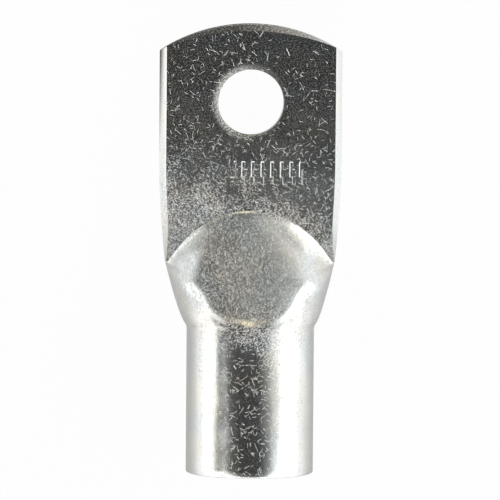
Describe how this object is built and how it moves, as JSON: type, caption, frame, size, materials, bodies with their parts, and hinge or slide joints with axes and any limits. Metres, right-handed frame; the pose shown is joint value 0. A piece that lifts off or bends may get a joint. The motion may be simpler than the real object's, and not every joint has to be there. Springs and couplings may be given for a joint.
{
  "type": "tubular cable lug",
  "caption": "Tin-plated copper tube lug: a round barrel takes the stripped cable, and the pressed flat palm has a stud hole.",
  "frame": {"origin": "centre of the stud hole on the back face of the palm", "axes": "+Z out of the front of the palm, +Y towards the rounded end, so the barrel's mouth opens towards -Y; +X across the palm"},
  "size_m": [0.0362, 0.088, 0.0252],
  "materials": {
    "tinned_copper": "tin plating with tumbling marks"
  },
  "bodies": {
    "root": {"cable_lug": "tinned_copper"}
  },
  "joints": []
}
